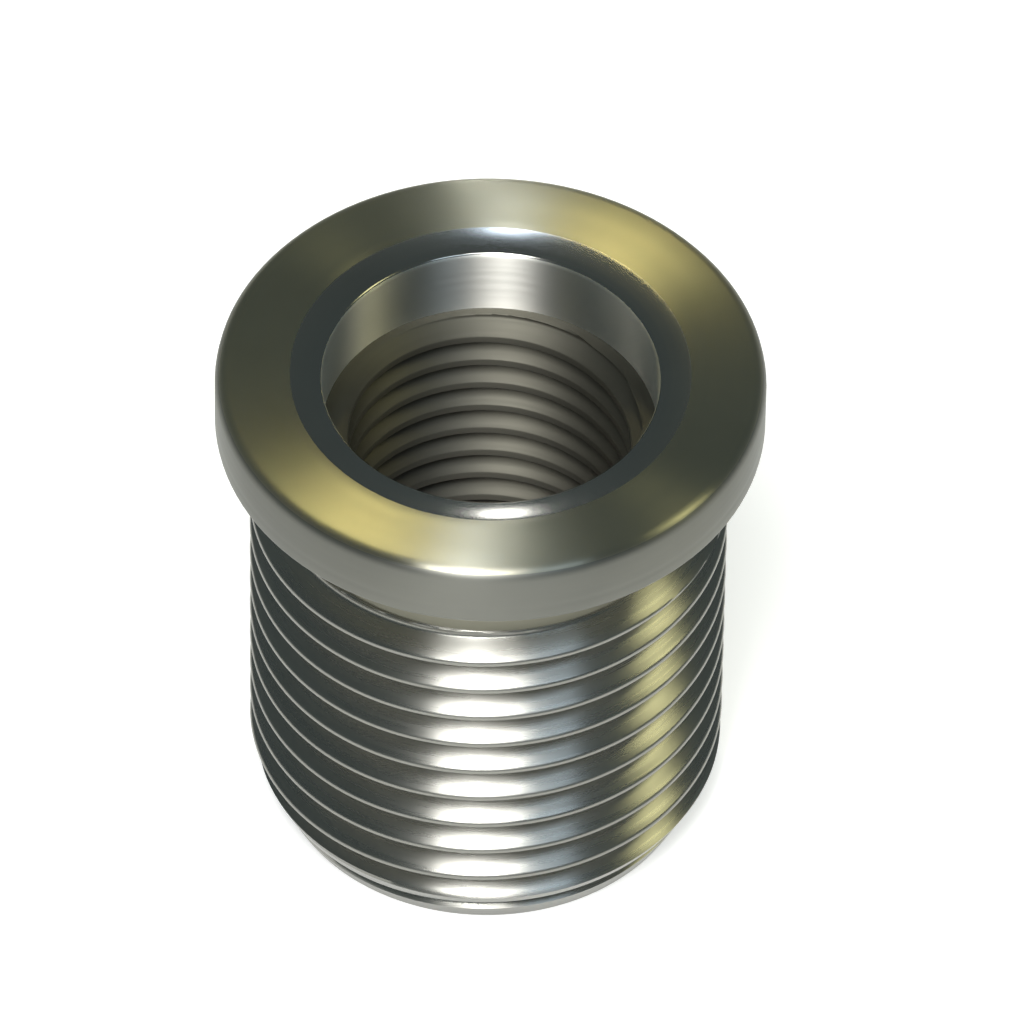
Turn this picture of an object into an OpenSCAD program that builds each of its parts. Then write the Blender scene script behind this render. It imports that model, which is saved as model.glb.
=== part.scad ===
// Flanged thread insert, turned from one piece of steel.
// The outer thread screws into the enlarged hole and the flange stops on the surface round it.
// A screw or plug then fits the smaller inner thread, below a plain counterbore and a dished seat.
// Each thread has its true section, drawn as rings a pitch apart.
// The foot rests on Z = 0 with the axis on Z. Sizes in mm.

/* [Outer thread] */
// Outside diameter of the outer thread
outer_d = 18; // [17:0.5:24]
// Pitch of the outer thread
outer_pitch = 1.5; // [1:0.25:2]
// Height of the relief turned between the outer thread and the flange
relief_h = 2.9; // [2:0.1:5]

/* [Inner thread] */
// Outside diameter of the screw or plug that fits the inner thread
inner_d = 12; // [8:0.5:13]
// Pitch of the inner thread
inner_pitch = 1.25; // [0.75:0.25:1.5]

/* [Body] */
// Length from the foot to the underside of the flange
reach = 19; // [14:0.5:27]
// Height of the tapered lead-in above the foot
lead_h = 2.3; // [1:0.1:4]

/* [Flange] */
// How far the flange stands out beyond the outer thread
flange_overhang = 1.3; // [0.8:0.1:4]
// Thickness of the flange
flange_h = 2.65; // [2:0.05:5]
// Bevel that breaks the upper and lower edge of the rim
rim_bevel = 0.2; // [0.1:0.05:0.4]

/* [Mouth] */
// Width of the dished seat round the counterbore
seat_w = 1.35; // [0.4:0.05:1.6]
// How far the dished seat falls towards the counterbore
seat_drop = 0.28; // [0.1:0.02:0.6]
// Gap between the counterbore and the outside of the screw or plug
counterbore_gap = 0.3; // [0.2:0.05:0.6]
// Depth of the counterbore below the top face
counterbore_depth = 3.2; // [2:0.1:5]

/* [Hidden] */
$fn = 96;

steel = [0.62, 0.62, 0.6];

// Metric thread form: 60 degrees between the flanks, depths and flats as shares of the pitch
flank_angle = 30;
outer_depth = 0.6134 * outer_pitch;
inner_depth = 0.5413 * inner_pitch;
flat_share = 1 / 8;
// How far a groove's cutter reaches past the metal
past = 0.12;

total_h = reach + flange_h;
outer_r = outer_d / 2;
root_r = outer_r - outer_depth;
flange_r = outer_r + flange_overhang;

// The relief and the tapered end of the body are a little smaller than the root of the outer thread
relief_r = root_r - 0.08;
lead_r = root_r - 0.13;

bore_r = inner_d / 2 - inner_depth;
counterbore_r = inner_d / 2 + counterbore_gap;
seat_r = counterbore_r + seat_w;
counterbore_z = total_h - counterbore_depth;

// Bevel at the foot of the bore
bore_bevel = inner_depth + 0.25;

// The top crest of the outer thread, whose upper flank runs down into the relief
relief_z = reach - relief_h;
top_edge_z = relief_z - (outer_r - relief_r) * tan(flank_angle);
top_crest_z = top_edge_z - flat_share * outer_pitch / 2;
// The lowest crest of the inner thread, within the bevel at the foot
low_crest_z = 0.2 * inner_pitch;

// The turned shape before the threads and the relief are cut
module blank() {
    rotate_extrude()
    polygon([
        [bore_r + bore_bevel, 0],
        [lead_r, 0],
        [outer_r, lead_h],
        [outer_r, reach],
        [flange_r - rim_bevel, reach],
        [flange_r, reach + rim_bevel],
        [flange_r, total_h - rim_bevel],
        [flange_r - rim_bevel, total_h],
        [seat_r, total_h],
        [counterbore_r, total_h - seat_drop],
        [counterbore_r, counterbore_z],
        [bore_r, counterbore_z],
        [bore_r, bore_bevel]
    ]);
}

// One groove round the axis: as wide as mouth where it opens at mouth_r, narrowing to its root
module ring_groove(mouth_r, root_r, mouth) {
    side = sign(mouth_r - root_r);
    open_half = mouth / 2 + past * tan(flank_angle);
    root_half = mouth / 2 - abs(mouth_r - root_r) * tan(flank_angle);
    rotate_extrude()
    polygon([
        [root_r, -root_half],
        [mouth_r + side * past, -open_half],
        [mouth_r + side * past, open_half],
        [root_r, root_half]
    ]);
}

// Metal taken out by the outer thread, from the top crest down to the foot
module outer_grooves() {
    mouth = (1 - flat_share) * outer_pitch;
    last = floor(top_crest_z / outer_pitch - 0.5);
    for (i = [0 : last])
        translate([0, 0, top_crest_z - (i + 0.5) * outer_pitch])
        ring_groove(outer_r, root_r, mouth);
}

// Metal taken out between the outer thread and the flange
module relief() {
    rotate_extrude()
    polygon([
        [relief_r, relief_z],
        [outer_r + past, top_edge_z - past * tan(flank_angle)],
        [outer_r + past, reach],
        [relief_r, reach]
    ]);
}

// Metal taken out by the inner thread, from the bevel at the foot up to the flat end of the counterbore
module inner_grooves() {
    mouth = flat_share * inner_pitch + 2 * inner_depth * tan(flank_angle);
    last = floor((counterbore_z - mouth / 2 - low_crest_z) / inner_pitch - 0.5);
    for (i = [0 : last])
        translate([0, 0, low_crest_z + (i + 0.5) * inner_pitch])
        ring_groove(bore_r, inner_d / 2, mouth);
}

module thread_insert() {
    color(steel)
    difference() {
        blank();
        outer_grooves();
        relief();
        inner_grooves();
    }
}

thread_insert();
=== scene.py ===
# Looks of a turned steel thread insert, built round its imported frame.
# Both threads are true helices, and the relief, flange, seat and counterbore are turned from one profile.
import math

import bmesh
import bpy
from mathutils import Matrix, Vector


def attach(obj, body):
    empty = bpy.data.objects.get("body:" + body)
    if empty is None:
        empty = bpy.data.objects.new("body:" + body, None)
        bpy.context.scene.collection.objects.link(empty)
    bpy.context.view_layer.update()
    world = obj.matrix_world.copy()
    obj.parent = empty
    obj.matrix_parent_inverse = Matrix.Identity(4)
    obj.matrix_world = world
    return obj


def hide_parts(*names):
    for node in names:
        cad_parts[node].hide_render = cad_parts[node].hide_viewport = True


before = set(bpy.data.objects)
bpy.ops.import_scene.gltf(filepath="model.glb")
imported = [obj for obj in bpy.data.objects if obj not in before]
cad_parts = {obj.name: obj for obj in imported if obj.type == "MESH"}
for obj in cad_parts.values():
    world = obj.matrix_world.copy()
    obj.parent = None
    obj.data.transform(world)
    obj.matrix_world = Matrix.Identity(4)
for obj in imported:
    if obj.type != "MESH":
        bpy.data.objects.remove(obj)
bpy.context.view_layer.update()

# Sizes in metres, the same as in the part's source
MM = 0.001
BODY_R = 9.0 * MM
OUTER_PITCH = 1.5 * MM
OUTER_DEPTH = 0.6134 * OUTER_PITCH
INNER_R = 6.0 * MM
INNER_PITCH = 1.25 * MM
INNER_DEPTH = 0.5413 * INNER_PITCH
REACH = 19.0 * MM
TOTAL_H = 21.65 * MM
FLANGE_R = 10.3 * MM
SEAT_R = 7.65 * MM
SEAT_DROP = 0.28 * MM
COUNTERBORE_R = 6.3 * MM
COUNTERBORE_Z = 18.45 * MM
LEAD_H = 2.3 * MM
ROOT_R = BODY_R - OUTER_DEPTH
RELIEF_R = ROOT_R - 0.08 * MM
LEAD_R = ROOT_R - 0.13 * MM
BORE_R = INNER_R - INNER_DEPTH
BORE_FOOT_R = BORE_R + INNER_DEPTH + 0.25 * MM
# The upper flank of the outer thread's top crest meets the relief under the flange at this height
RUN_OUT_Z = 16.1 * MM
# Metric thread form: how far a flank rises for each step in radius, and the flats as a share of the pitch
FLANK_SLOPE = math.tan(math.radians(30))
FLAT_SHARE = 1 / 8

# Run of the two threads
# The outer thread's top crest, where it faces the front, three quarters of a turn round from +X
# It lies a little lower than the source's top ring, because the photograph's highlights do
TOP_CREST_Z = 15.27 * MM
TOP_CREST_TURN = 0.75
# The inner thread's lowest crest, where it faces the back, a quarter of a turn round
LOW_CREST_Z = 0.25 * MM
LOW_CREST_TURN = 0.25
# The turns swept, from below the foot to past the upper end, where cones cut the thread to length
OUTER_TURNS = 13.0
INNER_TURNS = 17.0
# Pitches from those two crests down to the groove that the sweep starts with
OUTER_START = 10.5
INNER_START = 1.5
# The inner thread opens on the flat end of the counterbore, a little wider than its own root
OPEN_R = INNER_R + 0.04 * MM
# How much that shallow opening, and the bevel at the foot of the bore, change in radius for their height
OPEN_SLOPE = 5.0
BEVEL_SLOPE = 1.0

# Radii of the rounded edges
OUTER_CREST_ROUND = 0.16 * MM
OUTER_ROOT_ROUND = 0.18 * MM
INNER_CREST_ROUND = 0.07 * MM
INNER_ROOT_ROUND = 0.1 * MM
UNDER_FLANGE_ROUND = 0.25 * MM
RIM_ROUND = 0.5 * MM
SEAT_ROLL = 3.0 * MM
MOUTH_ROUND = 0.2 * MM
COUNTERBORE_END_ROUND = 0.05 * MM

# Fineness of the meshes
# Straight steps round one turn, for the threads and the turned faces alike, so that their edge rings meet
STEPS = 120
ARC_STEPS = 4
# The longest straight steps along the two threads' sections and along the turned profile
OUTER_STEP = 0.22 * MM
INNER_STEP = 0.15 * MM
CROWN_STEP = 1.0 * MM
# Points closer than this become one
WELD = 0.0005 * MM
# Edges that bend more than this are shaded crisp
CRISP_ANGLE = math.radians(35)


def linear(hex_colour):
    """Linear colour of an sRGB hex value."""
    parts = [int(hex_colour[i:i + 2], 16) / 255 for i in (1, 3, 5)]
    return [c / 12.92 if c <= 0.04045 else ((c + 0.055) / 1.055) ** 2.4 for c in parts] + [1.0]


def add(tree, kind, inputs=None, **settings):
    """Adds a node.
    For a socket's name or number, inputs gives its value, or the node or socket that is linked to it."""
    node = tree.nodes.new(kind)
    for name, value in settings.items():
        setattr(node, name, value)
    for key, value in (inputs or {}).items():
        if isinstance(value, bpy.types.Node):
            value = value.outputs[0]
        if isinstance(value, bpy.types.NodeSocket):
            tree.links.new(value, node.inputs[key])
        else:
            node.inputs[key].default_value = value
    return node


# Camera
# A long lens from 47 degrees above, rolled a little, as the outline in the photograph fits
VIEW_ELEVATION = math.radians(47.31)
VIEW_ROLL = math.radians(0.93)
VIEW_DISTANCE = 0.6
# Lens and sensor in millimetres
LENS = 560.4
SENSOR_WIDTH = 36
AIM = Vector((0, 0, 10.9 * MM))
# How far the frame's middle lies right of and above the point aimed at
FRAME_RIGHT = 0.835 * MM
FRAME_UP = 2.139 * MM


def make_camera():
    level = Vector((1, 0, 0))
    rise = Vector((0, math.sin(VIEW_ELEVATION), math.cos(VIEW_ELEVATION)))
    back = Vector((0, -math.cos(VIEW_ELEVATION), math.sin(VIEW_ELEVATION)))
    right = math.cos(VIEW_ROLL) * level + math.sin(VIEW_ROLL) * rise
    up = math.cos(VIEW_ROLL) * rise - math.sin(VIEW_ROLL) * level
    data = bpy.data.cameras.new("camera")
    data.lens = LENS
    data.sensor_width = SENSOR_WIDTH
    camera = bpy.data.objects.new("camera", data)
    camera.rotation_euler = Matrix((right, up, back)).transposed().to_euler()
    camera.location = AIM + back * VIEW_DISTANCE + right * FRAME_RIGHT + up * FRAME_UP
    bpy.context.scene.collection.objects.link(camera)
    bpy.context.scene.camera = camera


make_camera()


# Materials
# Faint smudges from handling and oil, about this far across
SMUDGE = 3 * MM
# How high the bump makes the tool marks
MARK_HEIGHT = 0.004 * MM


def steel(name, tones, roughness, stretch, mark):
    """Bare carbon steel with fine rings left by a tool, which draw each highlight out across them.
    The two tones mix in smudges, and roughness goes from the smooth to the rough rings.
    Stretch says how far the highlights are drawn out, and mark is the rings' width."""
    material = bpy.data.materials.new(name)
    material.use_nodes = True
    tree = material.node_tree
    tree.nodes.clear()
    place = add(tree, "ShaderNodeTexCoord").outputs["Object"]
    # Distance from the axis and height, so that the rings run round the part on every face
    flat = add(tree, "ShaderNodeVectorMath", {0: place, 1: (1, 1, 0)}, operation="MULTIPLY")
    radius = add(tree, "ShaderNodeVectorMath", {0: flat}, operation="LENGTH").outputs["Value"]
    height = add(tree, "ShaderNodeSeparateXYZ", {0: place}).outputs["Z"]
    across = add(tree, "ShaderNodeCombineXYZ", {"X": radius, "Z": height})
    rings = add(tree, "ShaderNodeTexNoise", {"Vector": across, "Scale": 1 / mark, "Detail": 3})
    rough = add(tree, "ShaderNodeMapRange", {"Value": rings, "From Min": 0.3, "From Max": 0.7,
                                             "To Min": roughness[0], "To Max": roughness[1]})
    bump = add(tree, "ShaderNodeBump", {"Height": rings, "Strength": 0.1, "Distance": MARK_HEIGHT})
    smudges = add(tree, "ShaderNodeTexNoise", {"Vector": place, "Scale": 1 / SMUDGE, "Detail": 4})
    colour = add(tree, "ShaderNodeMix", {"Factor": smudges, "A": linear(tones[0]), "B": linear(tones[1])},
                 data_type="RGBA")
    # The tangent runs round the part, and a quarter turn draws the highlights out across the rings
    tangent = add(tree, "ShaderNodeTangent", direction_type="RADIAL", axis="Z")
    surface = add(tree, "ShaderNodeBsdfPrincipled", {
        "Base Color": colour.outputs["Result"],
        "Metallic": 1.0,
        "Roughness": rough,
        "Anisotropic": stretch,
        "Anisotropic Rotation": 0.25,
        "Tangent": tangent,
        "Normal": bump,
    })
    add(tree, "ShaderNodeOutputMaterial", {"Surface": surface})
    return material


# The real tool marks are about 0.1 mm wide, drawn two or three times as wide here so that they show
# The top face, the relief and the foot, turned fine: a warm grey, with narrow pale streaks across the rings
TURNED_STEEL = steel("turned_steel", ("#878577", "#939183"), (0.28, 0.31), 0.98, 0.3 * MM)
# The rim, turned with a coarser feed: duller than the face above it, and darker in tone, which is painted
# shade that dims its reflection of the white floor
RIM_STEEL_PAINTED_SHADE = steel("rim_steel_painted_shade", ("#6E6E68", "#7A7A73"), (0.34, 0.4), 0.9, 0.3 * MM)
# The dished seat, burnished by its tool: mirrors the dark room, with one small sharp highlight
BURNISHED_STEEL = steel("burnished_steel", ("#82817C", "#8E8D87"), (0.14, 0.17), 0.3, 0.3 * MM)
# The counterbore, bored rougher: a pale sheen all round and a white streak down the far wall, both made
# brighter by a paler tone than the rest of the steel, which is painted sheen
BORED_STEEL_PAINTED_SHEEN = steel("bored_steel_painted_sheen", ("#D8D6CE", "#E2E0D8"), (0.39, 0.43), 1.0, 0.2 * MM)
# The outer thread, cut with a die: smooth flanks with a bright highlight above each crest
CUT_THREAD_STEEL = steel("cut_thread_steel", ("#878680", "#93928C"), (0.25, 0.31), 0.8, 0.2 * MM)
# The inner thread, tapped: torn flanks, dull, and darker in tone than the outer steel, which is painted
# shade for the inside of the bore
TAPPED_THREAD_PAINTED_SHADE = steel("tapped_thread_painted_shade", ("#605E55", "#6C6A60"), (0.56, 0.62), 0.7, 0.2 * MM)
TURNED_FINISHES = [TURNED_STEEL, RIM_STEEL_PAINTED_SHADE, BURNISHED_STEEL, BORED_STEEL_PAINTED_SHEEN, TAPPED_THREAD_PAINTED_SHADE]

# Where one finish of the turned faces ends and the next begins
# The rim's finish takes in this much of its rounded edges
RIM_FINISH_R = FLANGE_R - 0.1 * MM
# The top face's finish reaches a little way down the roll into the seat
TOP_FINISH_R = SEAT_R - 0.1 * MM
# The seat's finish ends just below its inner edge
SEAT_FINISH_Z = TOTAL_H - SEAT_DROP - 0.05 * MM
# The counterbore's flat end takes the same darker tone as the thread below it, painted shade at the bottom
# of the counterbore
BORED_FINISH_Z = COUNTERBORE_Z + 0.03 * MM


# Shapes
def finish(radius, height):
    """Finish of a turned face, by where its middle lies."""
    if radius > RIM_FINISH_R:
        return RIM_STEEL_PAINTED_SHADE
    if radius > TOP_FINISH_R or height < RUN_OUT_Z:
        return TURNED_STEEL
    if height > SEAT_FINISH_Z:
        return BURNISHED_STEEL
    return BORED_STEEL_PAINTED_SHEEN if height > BORED_FINISH_Z else TAPPED_THREAD_PAINTED_SHADE


def rounded(corners, radii, longest):
    """Points along a profile of (radius, height) corners, the inner ones broken by arcs of the given radii.
    No straight run between two points is longer than longest."""
    bends = [[Vector(corners[0])]]
    for before, corner, after, radius in zip(corners, corners[1:], corners[2:], radii):
        corner = Vector(corner)
        back = (Vector(before) - corner).normalized()
        ahead = (Vector(after) - corner).normalized()
        half = back.angle(ahead) / 2
        centre = corner + (back + ahead).normalized() * radius / math.sin(half)
        start = corner + back * radius / math.tan(half) - centre
        end = corner + ahead * radius / math.tan(half) - centre
        sweep = math.atan2(start.cross(end), start.dot(end))
        turns = [Matrix.Rotation(sweep * i / ARC_STEPS, 2) for i in range(ARC_STEPS + 1)]
        bends.append([centre + turn @ start for turn in turns])
    bends.append([Vector(corners[-1])])
    points = []
    for bend, following in zip(bends, bends[1:]):
        points += bend
        run = following[0] - bend[-1]
        pieces = max(1, math.ceil(run.length / longest))
        points += [bend[-1] + run * i / pieces for i in range(1, pieces)]
    return points + bends[-1]


def turned(name, profile):
    """Mesh of a (radius, height) profile turned about the axis, each face with its own finish."""
    form = bmesh.new()
    angles = [2 * math.pi * i / STEPS for i in range(STEPS)]
    rings = [[form.verts.new((r * math.cos(a), r * math.sin(a), z)) for a in angles] for r, z in profile]
    for k, (low, high) in enumerate(zip(rings, rings[1:])):
        radius, height = (profile[k] + profile[k + 1]) / 2
        for i in range(STEPS):
            face = form.faces.new((low[i - 1], low[i], high[i], high[i - 1]))
            face.material_index = TURNED_FINISHES.index(finish(radius, height))
    mesh = bpy.data.meshes.new(name)
    form.to_mesh(mesh)
    form.free()
    for material in TURNED_FINISHES:
        mesh.materials.append(material)
    return mesh


THREAD_SIZES = [
    "Pitch", "Turns", "Steps", "Start Height", "Side",
    "Low Height", "Low Radius", "Low Slope",
    "High Height", "High Radius", "High Slope",
]


def helical_thread():
    """Tree that sweeps a one-pitch section, points at (radius, 0, height), along a right-hand helix.
    Side is 1 for a thread on a shaft and -1 for one in a hole.
    A cone at each end cuts the thread back to a plain ring."""
    tree = bpy.data.node_groups.new("helical_thread", "GeometryNodeTree")
    tree.interface.new_socket("Section", in_out="INPUT", socket_type="NodeSocketGeometry")
    for name in THREAD_SIZES:
        tree.interface.new_socket(name, in_out="INPUT", socket_type="NodeSocketFloat")
    tree.interface.new_socket("Material", in_out="INPUT", socket_type="NodeSocketMaterial")
    tree.interface.new_socket("Thread", in_out="OUTPUT", socket_type="NodeSocketGeometry")
    given = add(tree, "NodeGroupInput").outputs

    # A grid with one row for each point of the section and one column for each step of the helix
    size = add(tree, "GeometryNodeAttributeDomainSize", {"Geometry": given["Section"]}, component="MESH")
    columns = add(tree, "ShaderNodeMath", {0: given["Turns"], 1: given["Steps"], 2: 1.0},
                  operation="MULTIPLY_ADD")
    grid = add(tree, "GeometryNodeMeshGrid",
               {"Vertices X": size.outputs["Point Count"], "Vertices Y": columns})
    index = add(tree, "GeometryNodeInputIndex")
    share = add(tree, "ShaderNodeMath", {0: index, 1: columns}, operation="DIVIDE")
    row = add(tree, "ShaderNodeMath", {0: share}, operation="FLOOR")
    column = add(tree, "ShaderNodeMath", {0: index, 1: columns}, operation="MODULO")
    turn = add(tree, "ShaderNodeMath", {0: column, 1: given["Steps"]}, operation="DIVIDE")

    # The section's point for this row
    position = add(tree, "GeometryNodeInputPosition")
    sample = add(tree, "GeometryNodeSampleIndex",
                 {"Geometry": given["Section"], "Value": position, "Index": row}, data_type="FLOAT_VECTOR")
    point = add(tree, "ShaderNodeSeparateXYZ", {0: sample})

    # Height along the helix, kept between the two ends
    climb = add(tree, "ShaderNodeMath", {0: given["Pitch"], 1: turn, 2: given["Start Height"]},
                operation="MULTIPLY_ADD")
    height = add(tree, "ShaderNodeMath", {0: climb, 1: point.outputs["Z"]}, operation="ADD")
    height = add(tree, "ShaderNodeClamp",
                 {"Value": height, "Min": given["Low Height"], "Max": given["High Height"]})

    # Radius: the section's, cut back by the two end cones
    reach = add(tree, "ShaderNodeMath", {0: point.outputs["X"], 1: given["Side"]}, operation="MULTIPLY")
    above = add(tree, "ShaderNodeMath", {0: height, 1: given["Low Height"]}, operation="SUBTRACT")
    below = add(tree, "ShaderNodeMath", {0: given["High Height"], 1: height}, operation="SUBTRACT")
    for distance, end in ((above, "Low"), (below, "High")):
        ring = add(tree, "ShaderNodeMath", {0: given[end + " Radius"], 1: given["Side"]},
                   operation="MULTIPLY")
        cone = add(tree, "ShaderNodeMath", {0: distance, 1: given[end + " Slope"], 2: ring},
                   operation="MULTIPLY_ADD")
        reach = add(tree, "ShaderNodeMath", {0: reach, 1: cone}, operation="MINIMUM")
    radius = add(tree, "ShaderNodeMath", {0: reach, 1: given["Side"]}, operation="MULTIPLY")

    # Turned to its place round the axis, then closed where one turn meets the next
    angle = add(tree, "ShaderNodeMath", {0: turn, 1: 2 * math.pi}, operation="MULTIPLY")
    before = add(tree, "ShaderNodeCombineXYZ", {"X": radius, "Z": height})
    after = add(tree, "ShaderNodeVectorRotate", {"Vector": before, "Angle": angle}, rotation_type="Z_AXIS")
    swept = add(tree, "GeometryNodeSetPosition", {"Geometry": grid, "Position": after})
    closed = add(tree, "GeometryNodeMergeByDistance", {"Geometry": swept, "Distance": WELD})
    real = add(tree, "GeometryNodeRealizeInstances", {"Geometry": closed})
    finished = add(tree, "GeometryNodeSetMaterial", {"Geometry": real, "Material": given["Material"]})
    add(tree, "NodeGroupOutput", {"Thread": finished})
    return tree


def groove_section(crest_r, root_r, pitch, half_root, crest_round, root_round, longest):
    """One pitch of a thread's section: the groove in the middle and half a crest at each end."""
    half_mouth = half_root + abs(crest_r - root_r) * FLANK_SLOPE
    return rounded(
        [(crest_r, -pitch / 2), (crest_r, -half_mouth), (root_r, -half_root),
         (root_r, half_root), (crest_r, half_mouth), (crest_r, pitch / 2)],
        [crest_round, root_round, root_round, crest_round], longest)


def thread(name, tree, section, sizes):
    """Plain mesh of a thread, baked from the tree."""
    mesh = bpy.data.meshes.new(name)
    mesh.from_pydata([(r, 0, z) for r, z in section], [(i, i + 1) for i in range(len(section) - 1)], [])
    maker = bpy.data.objects.new(name, mesh)
    bpy.context.scene.collection.objects.link(maker)
    modifier = maker.modifiers.new("thread", "NODES")
    modifier.node_group = tree
    for item in tree.interface.items_tree:
        if item.in_out == "INPUT" and item.name in sizes:
            modifier[item.identifier] = sizes[item.name]
    baked = bpy.data.meshes.new_from_object(maker.evaluated_get(bpy.context.evaluated_depsgraph_get()))
    bpy.data.objects.remove(maker)
    return baked


def outer_thread(tree):
    """The thread outside, from the tapered lead-in at the foot up to its run-out in the relief."""
    half_mouth = OUTER_PITCH * (1 - FLAT_SHARE) / 2
    half_root = half_mouth - OUTER_DEPTH * FLANK_SLOPE
    section = groove_section(BODY_R, ROOT_R, OUTER_PITCH, half_root,
                             OUTER_CREST_ROUND, OUTER_ROOT_ROUND, OUTER_STEP)
    return thread("outer_thread", tree, section, {
        "Pitch": OUTER_PITCH,
        "Turns": OUTER_TURNS,
        "Steps": float(STEPS),
        "Start Height": TOP_CREST_Z - OUTER_PITCH * (OUTER_START + TOP_CREST_TURN),
        "Side": 1.0,
        "Low Height": 0.0,
        "Low Radius": LEAD_R,
        "Low Slope": (BODY_R - LEAD_R) / LEAD_H,
        "High Height": RUN_OUT_Z,
        "High Radius": RELIEF_R,
        "High Slope": 1 / FLANK_SLOPE,
        "Material": CUT_THREAD_STEEL,
    })


def inner_thread(tree):
    """The thread in the bore, from the bevel at the foot up to the flat end of the counterbore."""
    half_root = INNER_PITCH * FLAT_SHARE / 2
    section = groove_section(BORE_R, INNER_R, INNER_PITCH, half_root,
                             INNER_CREST_ROUND, INNER_ROOT_ROUND, INNER_STEP)
    return thread("inner_thread", tree, section, {
        "Pitch": INNER_PITCH,
        "Turns": INNER_TURNS,
        "Steps": float(STEPS),
        "Start Height": LOW_CREST_Z - INNER_PITCH * (INNER_START + LOW_CREST_TURN),
        "Side": -1.0,
        "Low Height": 0.0,
        "Low Radius": BORE_FOOT_R,
        "Low Slope": BEVEL_SLOPE,
        "High Height": COUNTERBORE_Z,
        "High Radius": OPEN_R,
        "High Slope": OPEN_SLOPE,
        "Material": TAPPED_THREAD_PAINTED_SHADE,
    })


def one_shell(name, meshes):
    """One closed mesh from meshes whose edge rings meet, each with its own materials."""
    shell = bmesh.new()
    materials = []
    for mesh in meshes:
        known = len(shell.faces)
        shell.from_mesh(mesh)
        materials += [material for material in mesh.materials if material not in materials]
        slots = [materials.index(material) for material in mesh.materials]
        for face in list(shell.faces)[known:]:
            face.material_index = slots[face.material_index]
            face.smooth = True
    bmesh.ops.remove_doubles(shell, verts=shell.verts, dist=WELD)
    bmesh.ops.recalc_face_normals(shell, faces=shell.faces)
    joined = bpy.data.meshes.new(name)
    shell.to_mesh(joined)
    shell.free()
    joined.set_sharp_from_angle(angle=CRISP_ANGLE)
    for material in materials:
        joined.materials.append(material)
    return joined


def thread_insert():
    tree = helical_thread()
    outer = outer_thread(tree)
    inner = inner_thread(tree)

    # Relief, flange, seat and counterbore in one profile, and the flat foot
    crown = turned("crown", rounded(
        [(RELIEF_R, RUN_OUT_Z), (RELIEF_R, REACH), (FLANGE_R, REACH), (FLANGE_R, TOTAL_H),
         (SEAT_R, TOTAL_H), (COUNTERBORE_R, TOTAL_H - SEAT_DROP), (COUNTERBORE_R, COUNTERBORE_Z),
         (OPEN_R, COUNTERBORE_Z)],
        [UNDER_FLANGE_ROUND, UNDER_FLANGE_ROUND, RIM_ROUND,
         SEAT_ROLL, MOUTH_ROUND, COUNTERBORE_END_ROUND], CROWN_STEP))
    foot = turned("foot", [Vector((BORE_FOOT_R, 0)), Vector((LEAD_R, 0))])

    mesh = one_shell("thread_insert_turned", [crown, foot, outer, inner])
    piece = bpy.data.objects.new("thread_insert_turned", mesh)
    bpy.context.scene.collection.objects.link(piece)
    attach(piece, "root")
    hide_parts("thread_insert")


thread_insert()


# Stage and light
# The floor lies a hair under the foot, so that the two faces never coincide
FLOOR_GAP = 0.02 * MM
FLOOR_HALF_WIDTH = 0.6
FLOOR_COLOUR = "#E8E8E6"
# What the floor gives off to the camera and in reflections: with its own light it comes out just white
FLOOR_GLOW = "#BCBCBC"
# The dim room that the steel mirrors wherever it mirrors no lamp
ROOM_COLOUR = "#667173"


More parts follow.
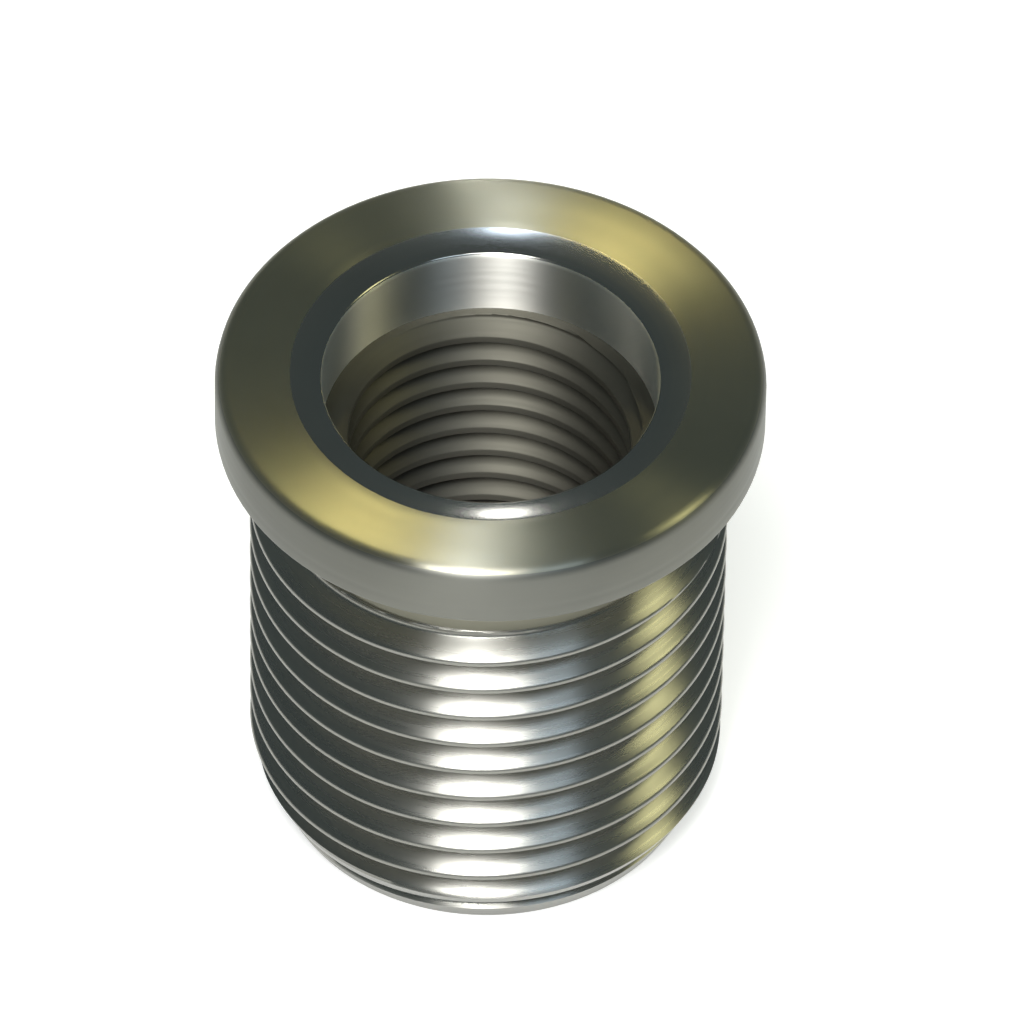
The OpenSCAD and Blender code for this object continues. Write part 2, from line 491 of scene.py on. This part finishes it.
def make_floor():
    """Pale floor: white to the camera and in reflections, with the object's own faint shadow."""
    form = bmesh.new()
    bmesh.ops.create_grid(form, x_segments=1, y_segments=1, size=FLOOR_HALF_WIDTH,
                          matrix=Matrix.Translation((0, 0, -FLOOR_GAP)))
    mesh = bpy.data.meshes.new("floor")
    form.to_mesh(mesh)
    form.free()
    floor = bpy.data.objects.new("floor", mesh)
    bpy.context.scene.collection.objects.link(floor)
    material = bpy.data.materials.new("pale_floor")
    material.use_nodes = True
    tree = material.node_tree
    tree.nodes.clear()
    ray = add(tree, "ShaderNodeLightPath").outputs
    seen = add(tree, "ShaderNodeMath", {0: ray["Is Camera Ray"], 1: ray["Is Glossy Ray"]},
               operation="MAXIMUM")
    seen = add(tree, "ShaderNodeMath", {0: seen, 1: ray["Is Transmission Ray"]}, operation="MAXIMUM")
    lit = add(tree, "ShaderNodeBsdfDiffuse", {"Color": linear(FLOOR_COLOUR)})
    glow = add(tree, "ShaderNodeEmission", {"Color": linear(FLOOR_GLOW), "Strength": seen})
    both = add(tree, "ShaderNodeAddShader", {0: lit, 1: glow})
    add(tree, "ShaderNodeOutputMaterial", {"Surface": both})
    mesh.materials.append(material)


def lamp(name, azimuth, elevation, distance, width, depth, brightness, colour):
    """Soft lamp aimed at the object, with its angles in degrees and its sizes in metres.
    Azimuth 0 is the camera's side and 90 its right, and brightness is radiance."""
    data = bpy.data.lights.new(name, "AREA")
    data.shape = "RECTANGLE"
    data.size = width
    data.size_y = depth
    data.energy = brightness * math.pi * width * depth
    data.color = linear(colour)[:3]
    turn = math.radians(azimuth)
    rise = math.radians(elevation)
    away = Vector((math.sin(turn) * math.cos(rise), -math.cos(turn) * math.cos(rise), math.sin(rise)))
    light = bpy.data.objects.new(name, data)
    light.location = AIM + away * distance
    light.rotation_euler = away.to_track_quat("Z", "Y").to_euler()
    bpy.context.scene.collection.objects.link(light)


def make_light():
    world = bpy.data.worlds.new("room")
    world.use_nodes = True
    background = world.node_tree.nodes["Background"]
    background.inputs["Color"].default_value = linear(ROOM_COLOUR)
    background.inputs["Strength"].default_value = 1.0
    bpy.context.scene.world = world
    # From the front: the highlights on the outer thread, with a bright core for the counterbore's streak
    lamp("key", -9, 60, 0.3, 0.12, 0.16, 11.5, "#FFFFFF")
    lamp("key_core", -10, 60, 0.3, 0.03, 0.16, 17, "#FFFFFF")
    # From the back: the bright spot on the near seat, the sheen on the far seat and the gold on the top face
    lamp("back", 181.2, 24.5, 0.35, 0.01, 0.03, 32, "#FFFFFF")
    lamp("back_high", 183, 65, 0.35, 0.014, 0.05, 19, "#D6E6FF")
    lamp("gold_back", 188, 56.3, 0.35, 0.03, 0.03, 31, "#FFEFA4")
    # From the right: the warm stripe down the outer thread and the cool side of its highlights
    lamp("warm_right", 92, 49, 0.35, 0.075, 0.11, 4.5, "#FFFABC")
    lamp("cool_right", 31, 58, 0.35, 0.1, 0.09, 3.5, "#D6EAFF")


make_floor()
make_light()
bpy.context.scene.view_settings.view_transform = "Standard"
